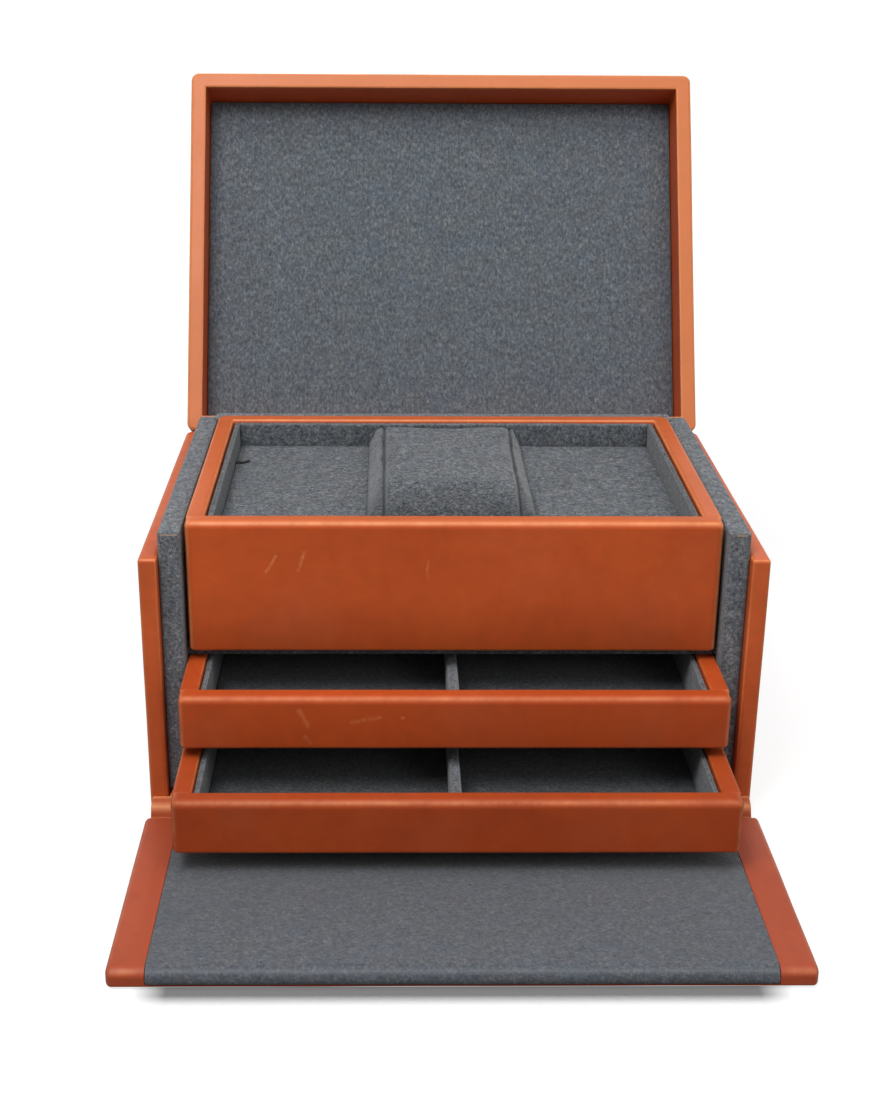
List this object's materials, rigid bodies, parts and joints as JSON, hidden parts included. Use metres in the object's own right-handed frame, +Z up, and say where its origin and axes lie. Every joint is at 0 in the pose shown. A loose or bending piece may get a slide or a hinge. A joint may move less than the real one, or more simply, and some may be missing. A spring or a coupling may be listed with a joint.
{
  "type": "watch presentation box",
  "caption": "Leather-covered box lined with felt, standing open, with a hinged lid, a drop front, a fitted top tray with a watch cushion, and sliding drawers with dividers.",
  "frame": {"origin": "middle of the case's footprint, on the underside of its bottom board", "axes": "+X to the right as seen from the front, +Y from the drop front to the hinged back, +Z up"},
  "size_m": [0.28, 0.4473, 0.308],
  "materials": {
    "leather": "smooth rust-orange covering leather, satin, with light scuffs",
    "hinge_leather": "thin bare leather, lighter orange, satin",
    "felt": "heathered blue-grey wool felt, matt"
  },
  "bodies": {
    "case": {"back_liner": "felt", "back_wall": "leather", "bottom_board": "leather", "floor_liner": "felt", "front_sill": "hinge_leather", "left_liner": "felt", "left_wall": "leather", "lid_hinge_strip_case": "hinge_leather", "lower_shelf": "felt", "right_liner": "felt", "right_wall": "leather", "tray_back": "leather", "tray_back_lining": "felt", "tray_base": "felt", "tray_front": "leather", "tray_front_lining": "felt", "tray_left_deck": "felt", "tray_left_lining": "felt", "tray_left_side": "leather", "tray_left_well_wall": "felt", "tray_right_deck": "felt", "tray_right_lining": "felt", "tray_right_side": "leather", "tray_right_well_wall": "felt", "upper_shelf": "felt", "watch_cushion": "felt"},
    "lid": {"lid_back_rail": "leather", "lid_felt_panel": "felt", "lid_front_rail": "leather", "lid_hinge_strip_lid": "hinge_leather", "lid_left_rail": "leather", "lid_right_rail": "leather", "lid_top_panel": "leather"},
    "drop_front": {"drop_front_board": "leather", "drop_front_felt": "felt", "drop_front_hinge_strip": "hinge_leather"},
    "middle_drawer": {"middle_drawer_back": "leather", "middle_drawer_back_lining": "felt", "middle_drawer_base": "felt", "middle_drawer_divider": "felt", "middle_drawer_floor_felt": "felt", "middle_drawer_front": "leather", "middle_drawer_front_lining": "felt", "middle_drawer_left_lining": "felt", "middle_drawer_left_side": "leather", "middle_drawer_right_lining": "felt", "middle_drawer_right_side": "leather"},
    "lower_drawer": {"lower_drawer_back": "leather", "lower_drawer_back_lining": "felt", "lower_drawer_base": "felt", "lower_drawer_divider": "felt", "lower_drawer_floor_felt": "felt", "lower_drawer_front": "leather", "lower_drawer_front_lining": "felt", "lower_drawer_left_lining": "felt", "lower_drawer_left_side": "leather", "lower_drawer_right_lining": "felt", "lower_drawer_right_side": "leather"}
  },
  "joints": [
    {"name": "lid_hinge", "type": "hinge", "parent": "case", "child": "lid", "pos_m": [0, 0.0967, 0.1273], "axis": [1, 0, 0], "range_deg": [0, 116.3]},
    {"name": "drop_front_hinge", "type": "hinge", "parent": "case", "child": "drop_front", "pos_m": [0, -0.1057, 0], "axis": [-1, 0, 0], "range_deg": [0, 8]},
    {"name": "middle_drawer_slide", "type": "slide", "parent": "case", "child": "middle_drawer", "axis": [0, 1, 0], "range_m": [-0.0381, 0.0382]},
    {"name": "lower_drawer_slide", "type": "slide", "parent": "case", "child": "lower_drawer", "axis": [0, 1, 0], "range_m": [0, 0.0763]}
  ]
}
